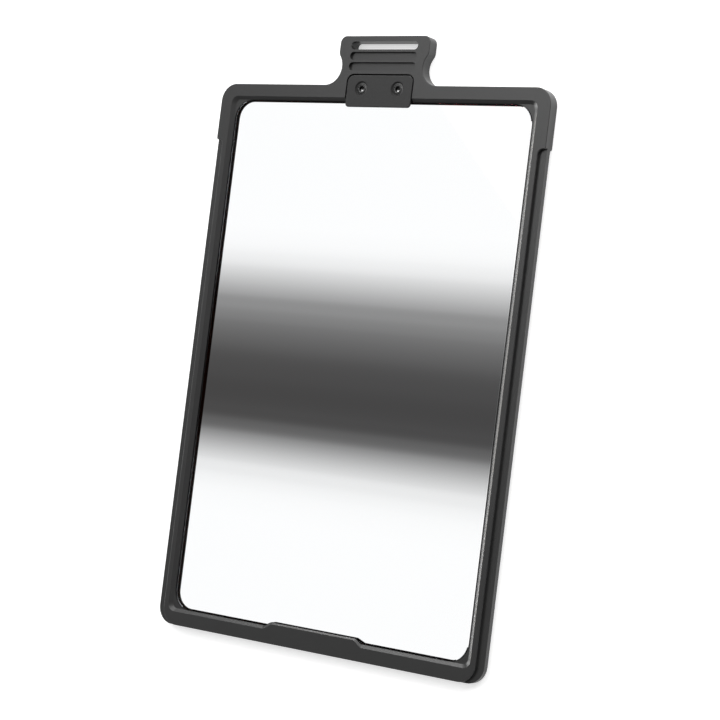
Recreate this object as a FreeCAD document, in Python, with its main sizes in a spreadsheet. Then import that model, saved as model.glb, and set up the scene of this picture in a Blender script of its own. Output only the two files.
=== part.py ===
import FreeCAD, Part
import os
import Sketcher
from math import acos, hypot, tan
from FreeCAD import Vector

# Slide-in frame for a 100 x 150 mm graduated camera filter.
# It lies on its back: the rear face is at Z = 0, the front face looks up, and the finger grip points to +Y.
# Every sub-part is drawn about the middle of the glass. Its Placement then moves it, so that the row's
# origin is in the middle of the whole outline, grip included.

doc = FreeCAD.newDocument("filter_frame")

# Driving dimensions, in millimetres and degrees
SIZES = [
    ("glass_width", 100.0, "filter glass, short side"),
    ("glass_length", 150.0, "filter glass, long side"),
    ("glass_thick", 2.0, "filter glass"),
    ("glass_corner", 5.5, "corner radius of the glass"),
    ("glass_bevel", 0.2, "ground edge of the glass"),
    ("side_play", 0.5, "gap between the glass and each long wall of its seat"),
    ("end_play", 0.05, "gap between the glass and each end wall of its seat"),
    ("frame_thick", 3.7, "whole thickness of the frame"),
    ("ledge_thick", 0.9, "floor that the seal and the glass lie on"),
    ("ledge_side", 0.7, "width of that floor along the long sides"),
    ("ledge_end", 0.4, "width of that floor at the two ends"),
    ("window_corner", 5.0, "corner radius of the clear window"),
    ("seat_corner", 5.8, "corner radius of the glass seat"),
    ("window_relief", 0.6, "chamfer round the window on the rear face"),
    ("foot_land", 0.15, "flat land between the seat's long walls and the foot of the bevel"),
    ("foot_corner", 1.5, "corner radius of the bevel's foot"),
    ("bevel_side", 1.2, "width of the bevelled lip along the long sides"),
    ("bevel_end", 0.95, "width of the bevelled lip at the two ends"),
    ("bevel_deep", 0.75, "depth of the bevelled lip"),
    ("bevel_corner", 2.2, "corner radius of the bevel's upper edge"),
    ("side_bar", 5.25, "from the glass seat's long wall to the rail's outer edge"),
    ("top_bar", 4.55, "from the glass seat's top wall to the outer edge of the top bar"),
    ("bottom_bar", 4.85, "from the glass seat's bottom wall to the outer edge of the bottom bar"),
    ("outer_corner", 5.0, "corner radius of the frame"),
    ("edge_round", 0.2, "rounding of the frame's outer edges"),
    ("rail_thick", 1.6, "rail that runs in the holder's groove"),
    ("rail_wide", 2.25, "how far the rail stands out of the bar"),
    ("rail_end", 12.05, "from the glass seat's top wall down to the shoulder where the rail begins"),
    ("cutter_radius", 1.5, "inner corner that the end mill leaves at the shoulder"),
    ("shoulder_round", 0.5, "outer corner of the shoulder"),
    ("hook_reach", 1.0, "how far the bottom hook's ledge stands into the window"),
    ("hook_cover", 1.7, "how far the bottom hook's upper edge stands in from the bevel's upper edge"),
    ("hook_bevel", 0.65, "width of the bevel on the hook's front"),
    ("hook_half", 14.15, "half width of the hook's flat top, at its upper edge"),
    ("hook_ramp", 2.6, "length of each ramp of the hook, at its upper edge"),
    ("hook_lean", 0.35, "how much wider each side of the hook is at the foot of the bevel"),
    ("hook_round", 1.2, "radius where the ramps meet the bar"),
    ("hook_gap", 0.1, "room between the glass and the hook above it"),
    ("seal_wide", 0.3, "seal under the rim of the glass"),
    ("seal_thick", 0.2, "seal under the rim of the glass"),
    ("grip_half", 15.2, "half width of the grip's head"),
    ("grip_high", 14.05, "from the outer edge of the top bar to the top of the grip"),
    ("grip_corner", 2.0, "top corners of the grip"),
    ("neck_half", 13.75, "half width of the grip's neck"),
    ("notch_radius", 5.2, "finger notch on each side of the grip"),
    ("grip_blend", 2.4, "radius between a finger notch and the grip's side"),
    ("slot_half", 11.3, "half length of the grip's slot and grooves"),
    ("slot_high", 2.3, "height of the slot and of each groove"),
    ("slot_end", 1.14, "corner radius at the ends of the slot and of each groove"),
    ("slot_pitch", 2.96, "from the slot to the first groove, and from groove to groove"),
    ("slot_from_top", 2.75, "from the top of the grip to the middle of the slot"),
    ("groove_deep", 0.85, "depth of the two grooves"),
    ("groove_count", 2, "number of grooves under the slot"),
    ("plate_half", 11.0, "half width of the clamp plate"),
    ("plate_cover", 1.7, "how far the clamp plate reaches over the glass seat"),
    ("plate_up", 7.35, "from the glass seat's top wall to the clamp plate's top edge"),
    ("plate_thick", 1.4, "clamp plate, where it lies on the frame"),
    ("plate_top_corner", 1.8, "upper corners of the clamp plate"),
    ("plate_low_corner", 1.0, "lower corners of the clamp plate"),
    ("plate_round", 0.2, "rounded upper rim of the clamp plate"),
    ("plate_gap", 0.4, "gap between the clamp plate and its pocket"),
    ("pad_thick", 0.15, "soft pad between the clamp plate and the glass"),
    ("pad_inset", 0.6, "from the edges of the clamp plate's nose to the pad"),
    ("screw_inset", 4.9, "from each end of the clamp plate to its screw"),
    ("screw_up", 3.5, "from the glass seat's top wall to the screws"),
    ("screw_thread", 2.5, "thread of the screws"),
    ("thread_play", 0.05, "gap between the screw and its hole in the frame"),
    ("plate_hole", 2.8, "hole for the screw in the clamp plate"),
    ("sink_wide", 4.3, "countersink in the clamp plate"),
    ("head_below", 0.25, "how far the screw's head lies below the clamp plate's face"),
    ("head_rim", 0.12, "straight rim of the screw's head"),
    ("socket_flats", 1.5, "hexagon socket, across its flats"),
    ("socket_deep", 0.9, "depth of the hexagon socket"),
    ("tip_short", 0.3, "how far the screw's tip stays inside the rear face"),
    ("tip_bevel", 0.3, "bevel on the screw's tip"),
]

sheet = doc.addObject("Spreadsheet::Sheet", "Dims")
for row, (alias, number, note) in enumerate(SIZES, start=1):
    sheet.set(f"A{row}", str(number))
    sheet.setAlias(f"A{row}", alias)
    sheet.set(f"B{row}", note)
doc.recompute()

# Heights and half sizes that several sub-parts share, as formulas on the sheet's values
SEAT_X = "(Dims.glass_width / 2 + Dims.side_play)"
SEAT_Y = "(Dims.glass_length / 2 + Dims.end_play)"
WINDOW_X = f"({SEAT_X} - Dims.ledge_side)"
WINDOW_Y = f"({SEAT_Y} - Dims.ledge_end)"
OUTER_X = f"({SEAT_X} + Dims.side_bar)"
TOP_Y = f"({SEAT_Y} + Dims.top_bar)"
BOTTOM_Y = f"(0 - {SEAT_Y} - Dims.bottom_bar)"
GRIP_Y = f"({TOP_Y} + Dims.grip_high)"
GLASS_REAR = "(Dims.ledge_thick + Dims.seal_thick)"
GLASS_FRONT = f"({GLASS_REAR} + Dims.glass_thick)"
BEVEL_FOOT = "(Dims.frame_thick - Dims.bevel_deep)"
HOOK_UNDER = f"({GLASS_FRONT} + Dims.hook_gap)"
SHOULDER_Y = f"({SEAT_Y} - Dims.rail_end)"
RAIL_STEP = "((Dims.frame_thick - Dims.rail_thick) / 2)"
PLATE_FLOOR = "(Dims.frame_thick - Dims.plate_thick)"
NOSE_UNDER = f"({GLASS_FRONT} + Dims.pad_thick)"
PLATE_LOW_Y = f"({SEAT_Y} - Dims.plate_cover)"
PLATE_TOP_Y = f"({SEAT_Y} + Dims.plate_up)"
SCREW_X = "(Dims.plate_half - Dims.screw_inset)"
SCREW_Y = f"({SEAT_Y} + Dims.screw_up)"
HEAD_TOP = "(Dims.frame_thick - Dims.head_below)"
MIDDLE_Y = f"(({GRIP_Y} + {BOTTOM_Y}) / 2)"


def value(formula):
    """The number that a formula on the sheet's values gives now."""
    result = sheet.evalExpression(formula)
    return float(getattr(result, "Value", result))


def new_body(name):
    """A body whose zero is the middle of the glass, set down in the row's frame."""
    body = doc.addObject("PartDesign::Body", name)
    body.Label = name
    body.setExpression("Placement.Base.y", f"0 - {MIDDLE_Y}")
    return body


def plane_of(body, role):
    """One of the body's own origin planes."""
    return next(item for item in body.Origin.OriginFeatures if item.Role == role)


def new_sketch(body, name, height="0"):
    """A sketch on the body's own plane, lifted by a formula."""
    sketch = body.newObject("Sketcher::SketchObject", name)
    sketch.AttachmentSupport = [(plane_of(body, "XY_Plane"), "")]
    sketch.MapMode = "FlatFace"
    sketch.setExpression("AttachmentOffset.Base.z", height)
    return sketch


def constrain(sketch, rules):
    """Add constraints together. A rule is (kind, elements), or (kind, elements, formula) for a bound size."""
    made = []
    for kind, elements, *formula in rules:
        made.append(Sketcher.Constraint(kind, *elements, *[value(item) for item in formula]))
    first = sketch.ConstraintCount
    sketch.addConstraint(made)
    for offset, (kind, elements, *formula) in enumerate(rules):
        if formula:
            sketch.setExpression(f"Constraints[{first + offset}]", formula[0])


def draw_outline(sketch, corners):
    """A closed outline of straight lines from corner to corner, each corner sharp or rounded.

    A corner is (x, y, radius) as formulas, in order round the outline, with radius None where it is sharp.
    """
    points = [Vector(value(x), value(y), 0) for x, y, radius in corners]
    doubled_area = sum(a.x * b.y - b.x * a.y for a, b in zip(points, points[1:] + points[:1]))
    if doubled_area < 0:
        corners, points = corners[::-1], points[::-1]
    count = len(corners)
    turns = []
    for i, (x, y, radius) in enumerate(corners):
        if radius is None:
            turns.append((points[i], points[i], None))
            continue
        before = (points[i - 1] - points[i]).normalize()
        after = (points[(i + 1) % count] - points[i]).normalize()
        half_angle = acos(before.dot(after)) / 2
        cut = value(radius) / tan(half_angle)
        bisector = (before + after).normalize()
        middle = points[i] + bisector * (hypot(value(radius), cut) - value(radius))
        turns.append((points[i] + before * cut, points[i] + after * cut, middle))
    lines = [sketch.addGeometry(Part.LineSegment(turns[i][1], turns[(i + 1) % count][0]), False)
             for i in range(count)]
    rules = []
    for i, (x, y, radius) in enumerate(corners):
        arriving, leaving = lines[i - 1], lines[i]
        start, end, middle = turns[i]
        if radius is None:
            rules.append(("Coincident", (arriving, 2, leaving, 1)))
            corner = leaving
        else:
            # A sketch's arc always runs anticlockwise, so at an inner corner its two ends change places
            outer_corner = (start - middle).cross(end - middle).z < 0
            first, last = (start, end) if outer_corner else (end, start)
            arc = sketch.addGeometry(Part.Arc(first, middle, last), False)
            rules.append(("Tangent", (arriving, 2, arc, 1 if outer_corner else 2)))
            rules.append(("Tangent", (leaving, 1, arc, 2 if outer_corner else 1)))
            rules.append(("Radius", (arc,), radius))
            corner = sketch.addGeometry(Part.Point(points[i]), True)
            rules.append(("PointOnObject", (corner, 1, arriving)))
            rules.append(("PointOnObject", (corner, 1, leaving)))
        rules.append(("DistanceX", (-1, 1, corner, 1), x))
        rules.append(("DistanceY", (-1, 1, corner, 1), y))
    constrain(sketch, rules)


def draw_circle(sketch, x, y, diameter):
    """A full circle with its centre and diameter bound."""
    circle = Part.Circle(Vector(value(x), value(y), 0), Vector(0, 0, 1), value(diameter) / 2)
    index = sketch.addGeometry(circle, False)
    constrain(sketch, [("DistanceX", (-1, 1, index, 3), x),
                       ("DistanceY", (-1, 1, index, 3), y),
                       ("Diameter", (index,), diameter)])


def rectangle(half_x, low_y, high_y, radius):
    """Corners of a rectangle with four equal radii."""
    return [(f"0 - {half_x}", low_y, radius), (half_x, low_y, radius),
            (half_x, high_y, radius), (f"0 - {half_x}", high_y, radius)]


def hooked_rectangle(half_x, half_y, radius, hook_top, hook_half):
    """Corners of a rectangle whose bottom side rises over the hook in the middle."""
    foot = f"({hook_half} + Dims.hook_ramp)"
    low = f"(0 - {half_y})"
    return [(f"0 - {half_x}", low, radius),
            (f"0 - {foot}", low, "Dims.hook_round"),
            (f"0 - {hook_half}", hook_top, "Dims.hook_round"),
            (hook_half, hook_top, "Dims.hook_round"),
            (foot, low, "Dims.hook_round"),
            (half_x, low, radius),
            (half_x, half_y, radius),
            (f"0 - {half_x}", half_y, radius)]


def pad(body, name, sketch, length):
    """Material from the sketch's plane upwards."""
    feature = body.newObject("PartDesign::Pad", name)
    feature.Profile = sketch
    feature.setExpression("Length", length)
    return feature


def pocket(body, name, sketch, length, upwards=True):
    """A cut from the sketch's plane, towards +Z or towards -Z."""
    feature = body.newObject("PartDesign::Pocket", name)
    feature.Profile = sketch
    feature.Reversed = upwards
    feature.setExpression("Length", length)
    return feature


def edges_where(feature, test):
    """Names of the edges whose two ends and middle all pass the test."""
    names = []
    for number, edge in enumerate(feature.Shape.Edges, start=1):
        middle = edge.valueAt((edge.FirstParameter + edge.LastParameter) / 2)
        spots = [vertex.Point for vertex in edge.Vertexes] + [middle]
        if all(test(spot) for spot in spots):
            names.append(f"Edge{number}")
    return names


def fillet(body, name, base, names, radius):
    """Round the named edges of a feature."""
    feature = body.newObject("PartDesign::Fillet", name)
    feature.Base = (base, names)
    feature.setExpression("Radius", radius)
    doc.recompute()
    return feature


def near(a, b):
    """Equal within the tolerance of the geometry."""
    return abs(a - b) < 1e-4


def within(a, half):
    """No further from zero than half."""
    return abs(a) <= half or near(abs(a), half)


def make_frame():
    """The milled plate: outline, grip, rounded edges, rails, window, glass seat, bevel, hook and holes."""
    body = new_body("frame")
    thick = value("Dims.frame_thick")

    outline = new_sketch(body, "frame_outline")
    draw_outline(outline, rectangle(OUTER_X, BOTTOM_Y, TOP_Y, "Dims.outer_corner"))
    pad(body, "frame_plate", outline, "Dims.frame_thick")

    # The grip stands on the top bar. Its foot is as wide as the centres of the two finger notches.
    notch_x = "(Dims.neck_half + Dims.notch_radius)"
    notch_y = f"({TOP_Y} + Dims.notch_radius)"
    root_y = f"({TOP_Y} - Dims.top_bar / 2)"
    grip = new_sketch(body, "grip_outline")
    draw_outline(grip, [
        (f"0 - {notch_x}", root_y, None), (notch_x, root_y, None),
        (notch_x, notch_y, None), ("Dims.grip_half", notch_y, None),
        ("Dims.grip_half", GRIP_Y, "Dims.grip_corner"), ("0 - Dims.grip_half", GRIP_Y, "Dims.grip_corner"),
        ("0 - Dims.grip_half", notch_y, None), (f"0 - {notch_x}", notch_y, None)])
    pad(body, "grip_plate", grip, "Dims.frame_thick")

    notches = new_sketch(body, "notch_circles")
    for side in ("0 - ", ""):
        draw_circle(notches, f"{side}{notch_x}", notch_y, "2 * Dims.notch_radius")
    cut = pocket(body, "finger_notches", notches, "Dims.frame_thick")
    doc.recompute()

    # Where each notch leaves the side of the head, the upright corner is blended
    half = value("Dims.grip_half")
    side_top = value(GRIP_Y) - value("Dims.grip_corner")
    foot_y = value(notch_y)
    corners = edges_where(cut, lambda p: near(abs(p.x), half) and p.y > foot_y and not near(p.y, side_top))
    upright = [name for name in corners if near(cut.Shape.getElement(name).Length, thick)]
    fillet(body, "grip_blends", cut, upright, "Dims.grip_blend")

    # With the rails cut, all edges of the front and rear faces are rounded
    stepped = make_rails(body)
    doc.recompute()
    rim = edges_where(stepped, lambda p: near(p.z, 0) or near(p.z, thick))
    fillet(body, "outer_edges", stepped, rim, "Dims.edge_round")

    make_window(body)
    make_grip_slots(body)
    make_clamp_pocket(body)
    return body


def make_rails(body):
    """A step along each long side, front and rear, leaves the rail in the middle of the thickness."""
    clear_y = f"({SHOULDER_Y} + 2 * Dims.shoulder_round)"
    outside = f"({OUTER_X} + Dims.rail_wide)"
    step_x = f"({OUTER_X} - Dims.rail_wide)"
    below = f"({BOTTOM_Y} - Dims.rail_wide)"
    for face, height, upwards in (("rear", "0", True), ("front", "Dims.frame_thick", False)):
        for side, sign in (("left", "0 - "), ("right", "")):
            sketch = new_sketch(body, f"{face}_{side}_step_outline", height)
            draw_outline(sketch, [
                (f"{sign}{outside}", below, None),
                (f"{sign}{outside}", clear_y, None),
                (f"{sign}{OUTER_X}", clear_y, None),
                (f"{sign}{OUTER_X}", SHOULDER_Y, "Dims.shoulder_round"),
                (f"{sign}{step_x}", SHOULDER_Y, "Dims.cutter_radius"),
                (f"{sign}{step_x}", BOTTOM_Y, "Dims.outer_corner"),
                (f"{sign}{SEAT_X} / 2", BOTTOM_Y, None),
                (f"{sign}{SEAT_X} / 2", below, None)])
            step = pocket(body, f"{face}_{side}_step", sketch, RAIL_STEP, upwards)
    return step


def make_window(body):
    """The clear window, the glass seat above it, and the bevelled lip with the hook in the bottom bar."""
    window = new_sketch(body, "window_outline")
    draw_outline(window, hooked_rectangle(WINDOW_X, WINDOW_Y, "Dims.window_corner",
                                          f"(0 - {WINDOW_Y} + Dims.hook_reach)", "Dims.hook_half"))
    opening = pocket(body, "window", window, "Dims.frame_thick")
    doc.recompute()
    half_x, half_y = value(WINDOW_X), value(WINDOW_Y)
    rear_edge = edges_where(opening, lambda p: near(p.z, 0) and within(p.x, half_x) and within(p.y, half_y))
    relief = body.newObject("PartDesign::Chamfer", "window_relief")
    relief.Base = (opening, rear_edge)
    relief.setExpression("Size", "Dims.window_relief")

    # The seat runs on under the hook, which is what holds the bottom edge of the glass
    seat = new_sketch(body, "seat_outline", "Dims.ledge_thick")
    draw_outline(seat, rectangle(SEAT_X, f"(0 - {SEAT_Y})", SEAT_Y, "Dims.seat_corner"))
    pocket(body, "glass_seat", seat, f"{HOOK_UNDER} - Dims.ledge_thick")

    # The bevel is the ruled surface between its foot and its upper edge. Its foot has tighter corners than
    # the seat, so that a flat land is left in each corner.
    foot = new_sketch(body, "bevel_foot", BEVEL_FOOT)
    upper = new_sketch(body, "bevel_upper_edge", "Dims.frame_thick")
    upper_top = f"(0 - {SEAT_Y} - Dims.bevel_end + Dims.hook_cover)"
    foot_x = f"({SEAT_X} + Dims.foot_land)"
    draw_outline(foot, hooked_rectangle(foot_x, SEAT_Y, "Dims.foot_corner",
                                        f"({upper_top} + Dims.hook_bevel)",
                                        "(Dims.hook_half + Dims.hook_lean)"))
    draw_outline(upper, hooked_rectangle(f"({foot_x} + Dims.bevel_side)", f"({SEAT_Y} + Dims.bevel_end)",
                                         "Dims.bevel_corner", upper_top, "Dims.hook_half"))
    bevel = body.newObject("PartDesign::SubtractiveLoft", "bevelled_lip")
    bevel.Profile = foot
    bevel.Sections = [upper]
    bevel.Ruled = True


def make_grip_slots(body):
    """One slot right through the head of the grip, and blind grooves below it."""
    slot_y = f"({GRIP_Y} - Dims.slot_from_top)"
    for number in range(int(value("Dims.groove_count")) + 1):
        middle = f"({slot_y} - {number} * Dims.slot_pitch)"
        through = number == 0
        sketch = new_sketch(body, f"slot_{number}_outline", "0" if through else "Dims.frame_thick")
        draw_outline(sketch, rectangle("Dims.slot_half", f"({middle} - Dims.slot_high / 2)",
                                       f"({middle} + Dims.slot_high / 2)", "Dims.slot_end"))
        if through:
            pocket(body, "grip_slot", sketch, "Dims.frame_thick")
        else:
            pocket(body, f"grip_groove_{number}", sketch, "Dims.groove_deep", False)


def make_clamp_pocket(body):
    """A pocket in the top bar for the clamp plate, open to the window, with two tapped holes."""
    half = "(Dims.plate_half + Dims.plate_gap)"
    top = f"({PLATE_TOP_Y} + Dims.plate_gap)"
    radius = "(Dims.plate_top_corner + Dims.plate_gap)"
    inside = f"({SEAT_Y} - Dims.plate_cover)"
    sketch = new_sketch(body, "clamp_pocket_outline", "Dims.frame_thick")
    draw_outline(sketch, [(f"0 - {half}", inside, None), (half, inside, None),
                          (half, top, radius), (f"0 - {half}", top, radius)])
    pocket(body, "clamp_pocket", sketch, "Dims.plate_thick", False)

    holes = new_sketch(body, "tapped_hole_circles")
    for sign in ("0 - ", ""):
        draw_circle(holes, f"{sign}{SCREW_X}", SCREW_Y, "Dims.screw_thread")
    pocket(body, "tapped_holes", holes, "Dims.frame_thick")


def make_glass():
    """The plate of glass, with rounded corners and a ground edge."""
    body = new_body("filter_glass")
    sketch = new_sketch(body, "glass_outline", GLASS_REAR)
    draw_outline(sketch, rectangle("(Dims.glass_width / 2)", "(0 - Dims.glass_length / 2)",
                                   "(Dims.glass_length / 2)", "Dims.glass_corner"))
    plate = pad(body, "glass_plate", sketch, "Dims.glass_thick")
    doc.recompute()
    rear, front = value(GLASS_REAR), value(GLASS_FRONT)
    names = edges_where(plate, lambda p: near(p.z, rear) or near(p.z, front))
    ground = body.newObject("PartDesign::Chamfer", "ground_edge")
    ground.Base = (plate, names)
    ground.setExpression("Size", "Dims.glass_bevel")


def make_seal():
    """The thin ring round the window that the rim of the glass lies on."""
    body = new_body("glass_gasket")
    sketch = new_sketch(body, "seal_outline", "Dims.ledge_thick")
    draw_outline(sketch, hooked_rectangle(f"({WINDOW_X} + Dims.seal_wide)", f"({WINDOW_Y} + Dims.seal_wide)",
                                          "(Dims.window_corner + Dims.seal_wide)",
                                          f"(0 - {WINDOW_Y} + Dims.hook_reach - Dims.seal_wide)",
                                          "Dims.hook_half"))
    draw_outline(sketch, hooked_rectangle(WINDOW_X, WINDOW_Y, "Dims.window_corner",
                                          f"(0 - {WINDOW_Y} + Dims.hook_reach)", "Dims.hook_half"))
    pad(body, "seal_ring", sketch, "Dims.seal_thick")


def make_clamp_plate():
    """The clamp plate: thick where it is screwed down, thin where its nose lies over the glass."""
    body = new_body("clamp_plate")
    sketch = new_sketch(body, "plate_outline", PLATE_FLOOR)
    draw_outline(sketch, [("0 - Dims.plate_half", PLATE_LOW_Y, "Dims.plate_low_corner"),
                          ("Dims.plate_half", PLATE_LOW_Y, "Dims.plate_low_corner"),
                          ("Dims.plate_half", PLATE_TOP_Y, "Dims.plate_top_corner"),
                          ("0 - Dims.plate_half", PLATE_TOP_Y, "Dims.plate_top_corner")])
    blank = pad(body, "plate_blank", sketch, "Dims.plate_thick")
    doc.recompute()
    top = value("Dims.frame_thick")
    rim = edges_where(blank, lambda p: near(p.z, top))
    fillet(body, "plate_rim", blank, rim, "Dims.plate_round")

    # The step under the nose clears the glass, and its wall lines up with the wall of the glass seat
    step = new_sketch(body, "nose_step_outline", PLATE_FLOOR)
    beyond = "(Dims.plate_half + Dims.plate_gap)"
    draw_outline(step, [(f"0 - {beyond}", f"({PLATE_LOW_Y} - Dims.plate_gap)", None),
                        (beyond, f"({PLATE_LOW_Y} - Dims.plate_gap)", None),
                        (beyond, SEAT_Y, None), (f"0 - {beyond}", SEAT_Y, None)])
    pocket(body, "nose_step", step, f"{NOSE_UNDER} - {PLATE_FLOOR}")

    holes = new_sketch(body, "plate_hole_circles", PLATE_FLOOR)
    for sign in ("0 - ", ""):
        draw_circle(holes, f"{sign}{SCREW_X}", SCREW_Y, "Dims.plate_hole")
    pocket(body, "plate_holes", holes, "Dims.plate_thick")

    # Each countersink is a turned cone
    for side, sign in (("left", "0 - "), ("right", "")):
        make_cone_cut(body, side, f"({sign}{SCREW_X})")


def make_cone_cut(body, side, axis_x):
    """A 90 degree countersink about one screw's axis, from the plate's face down to its hole."""
    sketch = body.newObject("Sketcher::SketchObject", f"{side}_sink_profile")
    sketch.AttachmentSupport = [(plane_of(body, "XZ_Plane"), "")]
    sketch.MapMode = "FlatFace"
    sketch.setExpression("AttachmentOffset.Base.z", f"0 - {SCREW_Y}")
    deep = "((Dims.sink_wide - Dims.plate_hole) / 2)"
    hole_x = f"({axis_x} + Dims.plate_hole / 2)"
    draw_outline(sketch, [(axis_x, f"(Dims.frame_thick - {deep})", None),
                          (hole_x, f"(Dims.frame_thick - {deep})", None),
                          (f"({axis_x} + Dims.sink_wide / 2)", "Dims.frame_thick", None),
                          (axis_x, "Dims.frame_thick", None)])
    cut = body.newObject("PartDesign::Groove", f"{side}_sink")
    cut.Profile = sketch
    cut.ReferenceAxis = (sketch, ["Edge4"])
    cut.Angle = 360


def make_pad():
    """The soft pad under the clamp plate's nose."""
    body = new_body("clamp_pad")
    sketch = new_sketch(body, "pad_outline", GLASS_FRONT)
    draw_outline(sketch, rectangle("(Dims.plate_half - Dims.pad_inset)", f"({PLATE_LOW_Y} + Dims.pad_inset)",
                                   "(Dims.glass_length / 2 - Dims.glass_bevel)", "(Dims.pad_inset / 2)"))
    pad(body, "pad_strip", sketch, "Dims.pad_thick")


def make_screw(side, sign):
    """A countersunk socket screw, turned about its own axis and then set over its hole."""
    body = doc.addObject("PartDesign::Body", f"clamp_screw_{side}")
    body.Label = f"clamp_screw_{side}"
    body.setExpression("Placement.Base.x", f"{sign}{SCREW_X}")
    body.setExpression("Placement.Base.y", f"{SCREW_Y} - {MIDDLE_Y}")

    head = "(Dims.sink_wide / 2 - Dims.head_below)"
    shank = "(Dims.screw_thread / 2 - Dims.thread_play)"
    cone_top = f"({HEAD_TOP} - Dims.head_rim)"
    cone_foot = f"({HEAD_TOP} - ({head} - {shank}))"
    rim = f"({head} - Dims.head_rim)"
    profile = body.newObject("Sketcher::SketchObject", f"screw_{side}_profile")
    profile.AttachmentSupport = [(plane_of(body, "XZ_Plane"), "")]
    profile.MapMode = "FlatFace"
    draw_outline(profile, [("0", "Dims.tip_short", None),
                           (f"({shank} - Dims.tip_bevel)", "Dims.tip_short", None),
                           (shank, "(Dims.tip_short + Dims.tip_bevel)", None),
                           (shank, cone_foot, None),
                           (rim, cone_top, None),
                           (rim, HEAD_TOP, None),
                           ("0", HEAD_TOP, None)])
    turned = body.newObject("PartDesign::Revolution", f"screw_{side}_turned")
    turned.Profile = profile
    turned.ReferenceAxis = (profile, ["Edge7"])
    turned.Angle = 360

    socket = new_sketch(body, f"screw_{side}_socket_outline", HEAD_TOP)
    flats = "(Dims.socket_flats / 2)"
    across = "(Dims.socket_flats / 2 / cos(30))"
    draw_outline(socket, [(across, "0", None), (f"{across} / 2", flats, None),
                          (f"0 - {across} / 2", flats, None), (f"0 - {across}", "0", None),
                          (f"0 - {across} / 2", f"0 - {flats}", None), (f"{across} / 2", f"0 - {flats}", None)])
    pocket(body, f"screw_{side}_socket", socket, "Dims.socket_deep", False)


make_frame()
make_glass()
make_seal()
make_clamp_plate()
make_pad()
for side, sign in (("left", "0 - "), ("right", "")):
    make_screw(side, sign)
doc.recompute()

# Nothing is written unless every object and every sub-part is sound
for item in doc.Objects:
    if "Invalid" in item.State or "Error" in item.State:
        raise RuntimeError(f"{item.Name}: {item.State}")
bodies = [item for item in doc.Objects if item.TypeId == "PartDesign::Body"]
for body in bodies:
    if body.Shape.isNull() or not body.Shape.isValid():
        raise RuntimeError(f"{body.Label}: bad shape")

os.makedirs("parts", exist_ok=True)
for body in bodies:
    body.Shape.exportStep(f"parts/{body.Label}.step")
    box = body.Shape.BoundBox
    print(f"{body.Label}: {len(body.Shape.Solids)} solid, {body.Shape.Volume:.2f} mm3, "
          f"X {box.XMin:.2f} to {box.XMax:.2f}, Y {box.YMin:.2f} to {box.YMax:.2f}, "
          f"Z {box.ZMin:.2f} to {box.ZMax:.2f}")
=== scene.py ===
# %% [markdown]
# A slide-in filter frame, finished for the camera.
# The real object is a thin plate of black anodised aluminium that holds one graduated glass filter.
# It can't stand by itself, so it lies on its back, and the camera looks down on it.
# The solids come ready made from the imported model. This lesson gives each one its finish, adds the
# small things that solids are poor at, and sets up the floor, the light and the camera.

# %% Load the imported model
from math import cos, pi, radians, sin

import bpy
import numpy as np
from mathutils import Matrix, Vector


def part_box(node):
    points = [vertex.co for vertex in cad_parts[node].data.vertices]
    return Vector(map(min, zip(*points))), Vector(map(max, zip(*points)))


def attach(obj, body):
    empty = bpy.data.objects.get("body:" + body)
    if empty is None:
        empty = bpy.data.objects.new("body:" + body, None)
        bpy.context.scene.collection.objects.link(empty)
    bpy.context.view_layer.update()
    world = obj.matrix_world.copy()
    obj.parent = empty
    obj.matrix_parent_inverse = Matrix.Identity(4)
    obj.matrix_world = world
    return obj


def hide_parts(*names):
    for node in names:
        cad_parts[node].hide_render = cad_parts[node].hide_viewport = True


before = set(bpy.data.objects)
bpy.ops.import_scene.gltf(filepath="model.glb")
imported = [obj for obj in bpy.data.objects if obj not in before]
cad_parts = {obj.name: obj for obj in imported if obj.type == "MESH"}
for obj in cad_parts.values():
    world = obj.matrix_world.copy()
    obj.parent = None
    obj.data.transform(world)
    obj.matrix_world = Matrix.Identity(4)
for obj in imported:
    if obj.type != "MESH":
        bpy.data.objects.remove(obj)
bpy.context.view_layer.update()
MM = 0.001
BODY = "root"
print("nodes:", sorted(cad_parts))

# %% [markdown]
# The camera is the first thing to settle, because every finish is judged from it.
# A camera can be turned with three angles, but angles are hard to read. Here it gets a place, a line of
# sight, and a roll about that line, which is how a photographer would say it.

# %% Camera
CAMERA_PLACE = np.array([333.556, -22.683, 481.782]) * MM
CAMERA_FORWARD = np.array([-0.5662, 0.0313, -0.8237])
CAMERA_ROLL = radians(7.06)
FOCAL_LENGTH = 104.47
SENSOR_WIDTH = 36.0


def unit(vector):
    """The same direction with a length of one."""
    return vector / np.linalg.norm(vector)


def add_camera():
    """A camera whose right-hand side is the forward line crossed with +Y, then rolled."""
    forward = unit(CAMERA_FORWARD)
    level_right = unit(np.cross(forward, [0.0, 1.0, 0.0]))
    level_up = np.cross(level_right, forward)
    right = level_right * cos(CAMERA_ROLL) + level_up * sin(CAMERA_ROLL)
    up = np.cross(right, forward)
    data = bpy.data.cameras.new("photo_camera")
    data.lens = FOCAL_LENGTH
    data.sensor_width = SENSOR_WIDTH
    data.clip_start = 0.01
    camera = bpy.data.objects.new("photo_camera", data)
    bpy.context.scene.collection.objects.link(camera)
    turn = np.eye(4)
    turn[:3, 0], turn[:3, 1], turn[:3, 2], turn[:3, 3] = right, up, -forward, CAMERA_PLACE
    camera.matrix_world = Matrix(turn.tolist())
    bpy.context.scene.camera = camera
    return camera


camera = add_camera()
bpy.context.scene.view_settings.view_transform = "Standard"
print("camera at", [round(x, 3) for x in camera.location])

# %% [markdown]
# A finish is a small piece of arithmetic over the surface: grain added to a base tone, a ramp along
# one axis. Blender writes that arithmetic as nodes and wires, which soon become a tangle.
# The class below wraps one wire, so that a plus or a times sign adds the Math node by itself.


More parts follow.
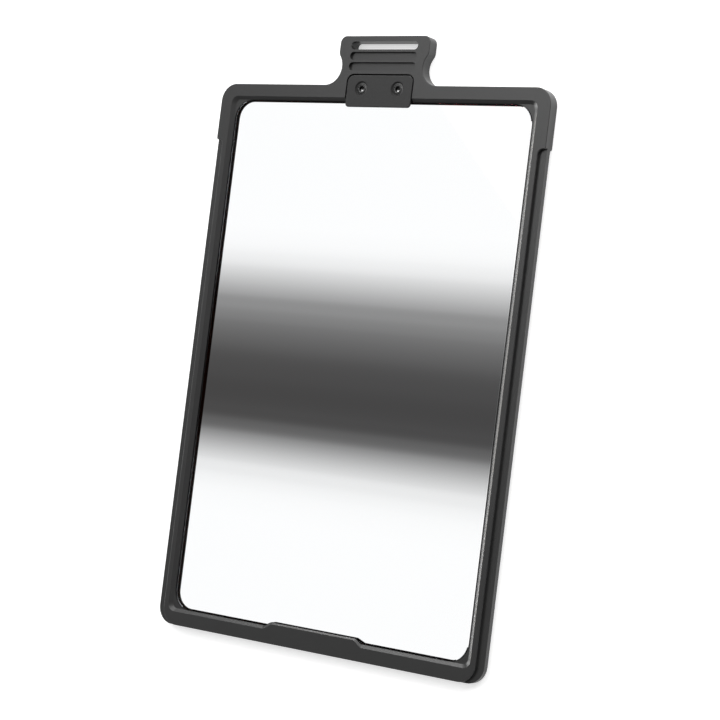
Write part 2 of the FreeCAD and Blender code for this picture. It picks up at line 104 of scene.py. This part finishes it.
# %% Shader arithmetic
class Wire:
    """One output of a node. Adding or multiplying two wires makes a Math node in their material."""

    def __init__(self, tree, socket):
        self.tree = tree
        self.socket = socket

    def math(self, operation, a, b=0.0):
        """One Math node on this wire and another wire or number."""
        return new_node(self.tree, "ShaderNodeMath", {"operation": operation}, {0: a, 1: b})

    def __add__(self, other):
        return self.math("ADD", self, other)

    def __radd__(self, other):
        return self.math("ADD", other, self)

    def __sub__(self, other):
        return self.math("SUBTRACT", self, other)

    def __rsub__(self, other):
        return self.math("SUBTRACT", other, self)

    def __mul__(self, other):
        return self.math("MULTIPLY", self, other)

    def __rmul__(self, other):
        return self.math("MULTIPLY", other, self)

    def __abs__(self):
        return self.math("ABSOLUTE", self)

    def __lt__(self, other):
        return self.math("LESS_THAN", self, other)


def new_node(tree, kind, settings, inputs, output=0):
    """Any node: its settings, then its sockets, each given a value or a wire."""
    made = tree.nodes.new(kind)
    for name, setting in settings.items():
        if name == "stops":
            set_stops(made.color_ramp, setting)
        else:
            setattr(made, name, setting)
    for name, given in inputs.items():
        if isinstance(given, Wire):
            tree.links.new(given.socket, made.inputs[name])
        else:
            made.inputs[name].default_value = given
    return Wire(tree, made.outputs[output]) if len(made.outputs) else made


def set_stops(ramp, stops):
    """Give a colour ramp its stops, each a place from 0 to 1 and a grey, joined by a smooth curve."""
    ramp.interpolation = "CARDINAL"
    while len(ramp.elements) > 1:
        ramp.elements.remove(ramp.elements[-1])
    for number, (place, grey) in enumerate(stops):
        stop = ramp.elements[0] if number == 0 else ramp.elements.new(place)
        stop.position = place
        stop.color = (*np.broadcast_to(grey, 3), 1.0)


def new_material(name):
    """An empty node material and its tree."""
    material = bpy.data.materials.new(name)
    material.use_nodes = True
    material.node_tree.nodes.clear()
    return material, material.node_tree


def finish_with(tree, shader):
    """Join the last shader to the material's output."""
    new_node(tree, "ShaderNodeOutputMaterial", {}, {"Surface": shader})


def object_place(tree):
    """Where a point is on the object, in metres."""
    return new_node(tree, "ShaderNodeTexCoord", {}, {}, "Object")


def along(tree, vector, axis):
    """One coordinate of a vector."""
    return new_node(tree, "ShaderNodeSeparateXYZ", {}, {"Vector": vector}, axis)


def noise(tree, place, size, detail=2.0, roughness=0.5):
    """Smooth noise from 0 to 1 whose lumps are about this size, in metres."""
    return new_node(tree, "ShaderNodeTexNoise", {},
                    {"Vector": place, "Scale": 1.0 / size, "Detail": detail, "Roughness": roughness}, "Fac")


def at_least(wire, least):
    """The wire's number, but never below the least."""
    return wire.math("MAXIMUM", wire, least)


def at_most(wire, most):
    """The wire's number, but never above the most."""
    return wire.math("MINIMUM", wire, most)


def grey_wire(tree, number):
    """A number made a grey colour."""
    return new_node(tree, "ShaderNodeCombineColor", {}, {"Red": number, "Green": number, "Blue": number})


# %% [markdown]
# Black anodising is dye in a thin layer of clear oxide over blasted metal. From close by it is a dark
# grey with a soft sheen, and a grain of about a tenth of a millimetre that the blasting leaves.
# It could be a metal shader with a black tint, but the dye hides the metal, so a plain dark base with
# an ordinary sheen looks more like it. The grain goes into the roughness and a very slight bump.
# The clamp plate has the same coat over a coarser blasting. Its countersinks are matt.


# %% Anodised aluminium
SINK_RADIUS = 2.16 * MM
MATT_MORE = 0.45
CLOUD_TIMES = 40


def in_countersinks(tree, place):
    """One inside the clamp plate's two countersinks, and nothing elsewhere."""
    screw_low, screw_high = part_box("clamp_screw_right")
    beside = abs(along(tree, place, "X")) - (screw_low.x + screw_high.x) / 2
    above = along(tree, place, "Y") - (screw_low.y + screw_high.y) / 2
    return beside * beside + above * above < SINK_RADIUS ** 2


def anodised(name, tone, gloss, sheen, grain_size, grain_height, uneven, dull=None):
    """Dyed oxide over blasted metal: tone and roughness wander a little with two sizes of grain.

    The tone is given, and uneven says how far the grain moves it. Where dull is given, it says which
    places are quite matt.
    """
    material, tree = new_material(name)
    place = object_place(tree)
    grain = noise(tree, place, grain_size, 3.0, 0.6)
    cloud = noise(tree, place, CLOUD_TIMES * grain_size, 2.0)
    base = tone * ((1.0 - 0.5 * uneven) + uneven * grain + 0.1 * cloud)
    rough = gloss - 0.05 + 0.07 * grain + 0.03 * cloud
    if dull:
        rough = rough + MATT_MORE * dull(tree, place)
    bump = new_node(tree, "ShaderNodeBump", {},
                    {"Height": grain, "Strength": 1.0, "Distance": grain_height})
    shader = new_node(tree, "ShaderNodeBsdfPrincipled", {},
                      {"Base Color": grey_wire(tree, base), "Roughness": rough, "Normal": bump,
                       "Specular IOR Level": sheen})
    finish_with(tree, shader)
    return material


frame_finish = anodised("black_anodised", 0.021, 0.34, 0.5, 0.12 * MM, 0.0012 * MM, 0.3)
plate_finish = anodised("coarse_black_anodised", 0.014, 0.42, 0.36, 0.4 * MM, 0.012 * MM, 1.3,
                        in_countersinks)
print("anodised finishes made")

# %% [markdown]
# The filter is clear glass with a grey band, darkest at its lower edge and fading to clear above.
# A photographer uses it to hold back a bright horizon. The grey is part of the glass, so the finish
# tints what passes through it. The tint depends only on the place along the glass, so one ramp with
# a few stops does it. The ramp is grey, so it can also be multiplied as a plain number.
# Both faces are coated against reflections. The coating is a film about a quarter of a wavelength
# thick, and Blender's shader has a socket for just that. The sides and the bevels of the two ends are
# painted black, so that no stray light runs through the edge. On the long sides the black is painted
# lighter towards the front: that is painted light, for the light that reaches the side near the front
# face and fades with depth. The front edge of the right-hand side is pale and glows a little. That is
# painted light too, a trick for the look and no real finish: it widens the bright window by the 0.3 mm
# that it lacks there in the solids.

# %% Graduated glass
glass_low, glass_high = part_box("filter_glass")
GLASS_LENGTH = glass_high.y - glass_low.y
GLASS_MIDDLE = (glass_high.y + glass_low.y) / 2
# Each stop is millimetres above the middle of the glass, and the share of the light that passes there
BAND = [(-46, 1.0), (-38, 0.96), (-34, 0.87), (-30, 0.73), (-22, 0.245), (-18, 0.098), (-14, 0.067),
        (-6, 0.067), (2, 0.096), (10, 0.18), (14, 0.255), (18, 0.35), (26, 0.74), (31, 0.93), (38, 1.0)]
FILM_NANOMETRES = 112.0
FILM_IOR = 1.23
# The paint lies where the skin's |Z| is below SIDE_LIMIT + END_SHARE * |Y|: the sides and the end bevels
SIDE_LIMIT = 0.3
END_SHARE = 0.65
LIGHT_FADE_DEPTH = 1.1 * MM
PAINT_TONE = 0.003
PAINTED_FRONT_LIGHT = 0.1
RIM_GLOW = 0.8
GLOW_DEEP = 0.66 * MM
GLOW_WIDE = 0.1 * MM


def graduated_glass():
    """Clear glass whose tint follows the place along +Y, with black sides that carry some painted light."""
    material, tree = new_material("graduated_glass")
    place = object_place(tree)
    share = (along(tree, place, "Y") - glass_low.y) * (1.0 / GLASS_LENGTH)
    stops = [(0.5 + up * MM / GLASS_LENGTH, passes) for up, passes in BAND]
    tint = new_node(tree, "ShaderNodeValToRGB", {"stops": stops}, {"Fac": share}, "Color")
    clear = new_node(tree, "ShaderNodeBsdfPrincipled", {},
                     {"Base Color": tint, "Roughness": 0.0, "IOR": 1.5, "Transmission Weight": 1.0,
                      "Thin Film Thickness": FILM_NANOMETRES, "Thin Film IOR": FILM_IOR})
    facing = new_node(tree, "ShaderNodeNewGeometry", {}, {}, "Normal")
    deep = glass_high.z - along(tree, place, "Z")
    edge = abs(along(tree, facing, "Z")) < SIDE_LIMIT + END_SHARE * abs(along(tree, facing, "Y"))
    # Painted light: the long sides are painted lighter near the front face, fading to black with depth
    thin = at_least(1.0 - deep * (1.0 / LIGHT_FADE_DEPTH), 0.0)
    grain = noise(tree, place, 0.1 * MM)
    tone = PAINT_TONE + 0.004 * grain + PAINTED_FRONT_LIGHT * thin * abs(along(tree, facing, "X"))
    # Painted light: the front edge of the right-hand side is painted pale and glows, a trick for the look
    right = glass_high.x - along(tree, place, "X") < GLOW_WIDE
    glow = RIM_GLOW * tint * right * (deep < GLOW_DEEP)
    painted = new_node(tree, "ShaderNodeBsdfPrincipled", {},
                       {"Base Color": grey_wire(tree, tone + glow), "Roughness": 0.8,
                        "Specular IOR Level": 0.1, "Emission Color": grey_wire(tree, glow),
                        "Emission Strength": 1.0})
    finish_with(tree, new_node(tree, "ShaderNodeMixShader", {}, {0: edge, 1: clear, 2: painted}))
    return material


glass_finish = graduated_glass()
print("glass is", round(GLASS_LENGTH / MM, 1), "mm long with", len(BAND), "stops")

# %% [markdown]
# Two small finishes are left. The seals are matt rubber, as near to black as anything here.
# The screws are blackened steel: a thin oxide, through which the metal shows darkly. One side of the
# floor of each socket is painted much lighter: a painted glint, for the lamp that the floor mirrors. Each
# screw says where that is with a number on its own points, which the finish reads.


# %% Rubber and steel
def seal_rubber():
    """Matt black rubber, with no sheen to speak of."""
    material, tree = new_material("seal_rubber")
    grain = noise(tree, object_place(tree), 0.2 * MM)
    shader = new_node(tree, "ShaderNodeBsdfPrincipled", {},
                      {"Base Color": grey_wire(tree, 0.002 + 0.003 * grain), "Roughness": 0.8 + 0.1 * grain,
                       "Specular IOR Level": 0.1})
    finish_with(tree, shader)
    return material


def black_steel():
    """Black oxide on steel, with a painted glint where the screw's own number on its points says so."""
    material, tree = new_material("black_steel")
    grain = noise(tree, object_place(tree), 0.08 * MM, 3.0)
    glint_share = new_node(tree, "ShaderNodeAttribute", {"attribute_name": "glint_share"}, {}, "Fac")
    bump = new_node(tree, "ShaderNodeBump", {}, {"Height": grain, "Strength": 1.0, "Distance": 0.001 * MM})
    # The 0.5 share paints a glint: a painted highlight on one side of the socket's floor
    tone = 0.035 + 0.02 * grain + 0.5 * glint_share
    shader = new_node(tree, "ShaderNodeBsdfPrincipled", {},
                      {"Base Color": grey_wire(tree, tone), "Roughness": 0.2 + 0.1 * grain,
                       "Metallic": 0.85, "Normal": bump})
    finish_with(tree, shader)
    return material


rubber_finish = seal_rubber()
steel_finish = black_steel()
print("made", rubber_finish.name, "and", steel_finish.name)

# %% [markdown]
# The ready-made solids now take their finishes. The seal under the glass and the pad under the clamp
# plate share the rubber.


# %% Finish the solids
def set_finish(node, material):
    """Give a ready-made solid its finish."""
    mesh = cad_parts[node].data
    mesh.materials.clear()
    mesh.materials.append(material)
    print(node, "is finished with", material.name)


for node, material in (("frame", frame_finish), ("clamp_plate", plate_finish),
                       ("filter_glass", glass_finish), ("glass_gasket", rubber_finish),
                       ("clamp_pad", rubber_finish)):
    set_finish(node, material)

# %% [markdown]
# New pieces are grids of points. A grid can be wrapped round like a sleeve: going along a row is going
# round the sleeve, and going from row to row is going down its length. Two fans of triangles close the
# ends. Blender could spin or extrude such shapes, but a grid lets one formula move every point.


# %% A sleeve of points
SHARP_ANGLE = radians(32)


def sleeve(name, rings, material):
    """A closed skin over rings of points, with quads between rings and a fan at each end.

    The volume inside is a sixth of the sum of a . (b x c) over the triangles. Where it comes out negative,
    the rings were wound the other way, and the faces are turned to look outwards.
    """
    count, around = rings.shape[:2]
    ring, spot = np.meshgrid(np.arange(count - 1), np.arange(around), indexing="ij")
    beside = (spot + 1) % around
    quads = np.stack([ring * around + spot, (ring + 1) * around + spot,
                      (ring + 1) * around + beside, ring * around + beside], axis=-1).reshape(-1, 4)
    here = np.arange(around)
    there = (here + 1) % around
    last_row = (count - 1) * around
    first_fan = np.stack([np.full(around, count * around), here, there], axis=-1)
    last_fan = np.stack([np.full(around, count * around + 1), last_row + there, last_row + here], axis=-1)
    points = np.vstack([rings.reshape(-1, 3), rings[0].mean(axis=0), rings[-1].mean(axis=0)])
    triangles = np.vstack([quads[:, :3], quads[:, [0, 2, 3]], first_fan, last_fan])
    corners = points[triangles] - points.mean(axis=0)
    volume = np.einsum("ij,ij->i", corners[:, 0], np.cross(corners[:, 1], corners[:, 2])).sum() / 6
    if volume < 0:
        quads, first_fan, last_fan = quads[:, ::-1], first_fan[:, ::-1], last_fan[:, ::-1]
    mesh = bpy.data.meshes.new(name)
    mesh.from_pydata(points.tolist(), [], quads.tolist() + first_fan.tolist() + last_fan.tolist())
    mesh.polygons.foreach_set("use_smooth", np.ones(len(mesh.polygons), dtype=bool))
    mesh.set_sharp_from_angle(angle=SHARP_ANGLE)
    mesh.materials.append(material)
    piece = bpy.data.objects.new(name, mesh)
    bpy.context.scene.collection.objects.link(piece)
    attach(piece, BODY)
    print(f"{name}: {len(mesh.polygons)} faces, {abs(volume) / MM ** 3:.2f} mm3")
    return piece


# %% [markdown]
# The two screws are countersunk socket screws. Their ready-made solids are plain, because a solid with
# a real thread is slow to make and to check. Here each screw is one sleeve. It starts at the drilled
# point in the bottom of the socket, climbs the six walls, rolls over the rounded head, and goes down the
# cone and the thread to the tip. The thread only shows from behind, in the two holes.

# %% Screws
AROUND = 96
HEX_HALF = 0.75 * MM
SOCKET_DEEP = 0.9 * MM
POINT_DEEP = 0.36 * MM
LAND_RADIUS = 1.16 * MM
SHOULDER_ROUND = 0.3 * MM
SHOULDER_TURN = radians(50)
HEAD_RADIUS = 1.76 * MM
RING_DEEP = 0.125 * MM
CONE_FOOT = 0.7 * MM
SHANK_RADIUS = 1.2 * MM
THREAD_PITCH = 0.45 * MM
THREAD_DEEP = 0.2 * MM
TIP_BEVEL = 0.3 * MM
# The side of the socket's floor that carries the painted glint
GLINT_SIDE = radians(235)
THREAD_RINGS = 54
GROOVE_SHARP = 1.8
GROOVE_REACH = 1.3


def hexagon(angle):
    """How much further than a flat's middle the edge is: one over the cosine of the angle to that middle."""
    return 1.0 / np.cos((angle + pi / 6) % (pi / 3) - pi / 6)


def screw_rings(low, high):
    """Rings of a socket screw, as radius and height for each angle.

    Head: a straight-line profile in the socket, then an arc from the land to a flat ring, then a cone.
    Each row is a radius, a height and whether the ring is six-sided. Thread: the shank's radius less the
    depth times a triangle wave of height / pitch + angle / one turn, cut off at nothing and at the full
    depth, and held inside the bevel of the tip. The painted glint is the squared cosine of the angle to one
    side.
    """
    angle = np.arange(AROUND) * 2 * pi / AROUND
    turn = np.linspace(0.0, SHOULDER_TURN, 8)
    inside = np.array([(0.05 * HEX_HALF, -SOCKET_DEEP - POINT_DEEP, 0),
                       (0.5 * HEX_HALF, -SOCKET_DEEP - POINT_DEEP / 2, 0),
                       (0.96 * HEX_HALF, -SOCKET_DEEP, 0), (HEX_HALF, -SOCKET_DEEP, 1),
                       (HEX_HALF, -0.09 * MM, 1), (1.22 * HEX_HALF, 0.0, 0), (LAND_RADIUS, 0.0, 0)])
    shoulder = np.stack([LAND_RADIUS + SHOULDER_ROUND * np.sin(turn),
                         SHOULDER_ROUND * (np.cos(turn) - 1), np.zeros_like(turn)], axis=-1)
    outside = np.array([(HEAD_RADIUS, -RING_DEEP, 0), (SHANK_RADIUS, -CONE_FOOT, 0)])
    head = np.vstack([inside, shoulder, outside])
    head_radius = head[:, :1] * (1 + head[:, 2:] * (hexagon(angle) - 1))
    head_height = np.broadcast_to(high.z + head[:, 1:2], head_radius.shape)

    height = np.linspace(high.z - CONE_FOOT - 0.02 * MM, low.z, THREAD_RINGS)[:, None]
    wave = (height / THREAD_PITCH + angle / (2 * pi)) % 1.0
    groove = np.clip(GROOVE_REACH - np.abs(2 * wave - 1) * GROOVE_SHARP, 0.0, 1.0)
    bevelled = SHANK_RADIUS - TIP_BEVEL + (height - low.z)
    shank_radius = np.minimum(SHANK_RADIUS - THREAD_DEEP * groove, bevelled)
    shank_height = np.broadcast_to(height, shank_radius.shape)

    radius = np.vstack([head_radius, shank_radius])
    middle = (low + high) / 2
    glint_share = np.zeros(radius.shape)
    # Rings 1 and 2 are the socket's floor: one side of them gets the painted glint
    glint_share[1:3] = np.maximum(np.cos(angle - GLINT_SIDE), 0) ** 2
    rings = np.stack([middle.x + radius * np.cos(angle), middle.y + radius * np.sin(angle),
                      np.vstack([head_height, shank_height])], axis=-1)
    return rings, glint_share


for side in ("left", "right"):
    node = f"clamp_screw_{side}"
    rings, glint_share = screw_rings(*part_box(node))
    screw = sleeve(f"{side}_socket_screw", rings, steel_finish)
    # The tip of the drilled point, the first pole, gets a fifth of the painted glint
    marks = screw.data.attributes.new("glint_share", "FLOAT", "POINT")
    marks.data.foreach_set("value", np.append(glint_share.ravel(), [0.2, 0.0]))
    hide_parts(node)

# %% [markdown]
# A thin black pad lies between the glass and the hook in the bottom bar, and a hair of it stands out
# along the hook's edge. It is a flat ribbon: straight at the back, and at the front it follows the
# hook, level in the middle with a ramp down at each end. Where front and back meet, the ribbon ends.

# %% Pad under the hook
PAD_FRONT = -73.64 * MM
PAD_BACK = -74.9 * MM
PAD_LEVEL_HALF = 14.45 * MM
RAMP_SLOPE = 0.577
RAMP_ROUND = 0.5 * MM
PAD_THICK = 0.08 * MM
PAD_CLEAR = 0.01 * MM


def hook_pad_rings(stations=121):
    """Rings of the ribbon, each a thin loop in the YZ plane.

    With d the way past the end of the level part, the front drops by slope * (d + sqrt(d^2 + round^2)) / 2,
    which is a straight ramp with a rounded start. The ribbon ends where the front has dropped to the back.
    """
    drop = (PAD_FRONT - PAD_BACK) / RAMP_SLOPE
    end = PAD_LEVEL_HALF + drop - RAMP_ROUND ** 2 / (4 * drop)
    x = np.linspace(-end, end, stations)
    past = np.abs(x) - PAD_LEVEL_HALF
    front = PAD_FRONT - RAMP_SLOPE * (past + np.sqrt(past ** 2 + RAMP_ROUND ** 2)) / 2
    front = np.maximum(front, PAD_BACK)
    deep = front - PAD_BACK
    rim = np.minimum(PAD_THICK / 2, deep)
    back = np.full_like(x, PAD_BACK)
    y = np.stack([back, front - rim, front, front - rim, back], axis=-1)
    z = glass_high.z + PAD_CLEAR + PAD_THICK * np.array([0.0, 0.0, 0.5, 1.0, 1.0])
    x, z = np.broadcast_to(x[:, None], y.shape), np.broadcast_to(z, y.shape)
    return np.stack([x, GLASS_MIDDLE + y, z], axis=-1)


sleeve("hook_pad", hook_pad_rings(), rubber_finish)

# %% [markdown]
# The floor is a plain white sheet. A white that is only painted turns grey in soft shade, so the sheet
# also glows a little for the camera, and for what the metal mirrors. Its painted share still takes the
# object's shadow. What is seen through the glass is plain white, as over a light table. The sheet lies
# a hair below the object, because two surfaces in one plane would flicker.


# %% Floor
FLOOR_BELOW = 0.02 * MM


def add_floor(size, glow):
    """A white sheet at the height that the object rests on."""
    mesh = bpy.data.meshes.new("floor")
    half = size / 2
    mesh.from_pydata([(-half, -half, 0), (half, -half, 0), (half, half, 0), (-half, half, 0)], [],
                     [(0, 1, 2, 3)])
    material, tree = new_material("white_floor")
    seen = new_node(tree, "ShaderNodeLightPath", {}, {}, "Is Camera Ray")
    mirrored = new_node(tree, "ShaderNodeLightPath", {}, {}, "Is Glossy Ray")
    through = new_node(tree, "ShaderNodeLightPath", {}, {}, "Is Transmission Ray")
    shown = at_most(seen + mirrored, 1.0)
    paint = new_node(tree, "ShaderNodeBsdfDiffuse", {}, {"Color": (0.8, 0.8, 0.8, 1.0)})
    light = new_node(tree, "ShaderNodeEmission", {}, {"Color": (1, 1, 1, 1), "Strength": shown * glow})
    sheet = new_node(tree, "ShaderNodeAddShader", {}, {0: paint, 1: light})
    white = new_node(tree, "ShaderNodeEmission", {}, {"Color": (1, 1, 1, 1), "Strength": 1.0})
    finish_with(tree, new_node(tree, "ShaderNodeMixShader", {}, {0: through, 1: sheet, 2: white}))
    mesh.materials.append(material)
    floor = bpy.data.objects.new("floor", mesh)
    floor.location.z = -FLOOR_BELOW
    bpy.context.scene.collection.objects.link(floor)
    print(f"floor: {size} m wide, {FLOOR_BELOW / MM} mm below the object")
    return floor


add_floor(6.0, 0.56)

# %% [markdown]
# Black metal shows what it mirrors more than its own tone, so each lamp is placed for what mirrors it.
# A large softbox hangs above and beyond the top of the frame, where the flat faces mirror its edge:
# that makes the top bar brighter than the bottom one. Two long low ones stand behind the grip and to
# the left. They hardly light the floor, but the bevels and rims mirror them as thin bright lines.
# One beyond the upper right corner keeps the shadow on the right short, and an even pale surround
# fills the rest.


# %% Light
def add_softbox(name, place, wide, high, watts):
    """A rectangular lamp that faces the middle of the object."""
    data = bpy.data.lights.new(name, "AREA")
    data.shape = "RECTANGLE"
    data.size = wide
    data.size_y = high
    data.energy = watts
    lamp = bpy.data.objects.new(name, data)
    lamp.location = place
    lamp.rotation_euler = (-Vector(place)).to_track_quat("-Z", "Y").to_euler()
    bpy.context.scene.collection.objects.link(lamp)
    print(f"{name}: shines {watts / (pi * wide * high):.1f} times as bright as white")
    return lamp


def add_surround(strength):
    """An even pale surround."""
    world = bpy.data.worlds.new("pale_surround")
    world.use_nodes = True
    world.node_tree.nodes["Background"].inputs["Color"].default_value = (1, 1, 1, 1)
    world.node_tree.nodes["Background"].inputs["Strength"].default_value = strength
    bpy.context.scene.world = world


add_softbox("top_softbox", (-0.35, 0.66, 1.0), 1.0, 1.0, 9.0)
add_softbox("far_softbox", (-0.25, 1.3, 0.28), 1.4, 0.56, 14.0)
add_softbox("left_softbox", (-1.4, 0.0, 0.2), 0.8, 0.4, 6.5)
add_softbox("corner_softbox", (0.85, 0.95, 0.8), 0.7, 0.7, 11.0)
add_surround(0.31)
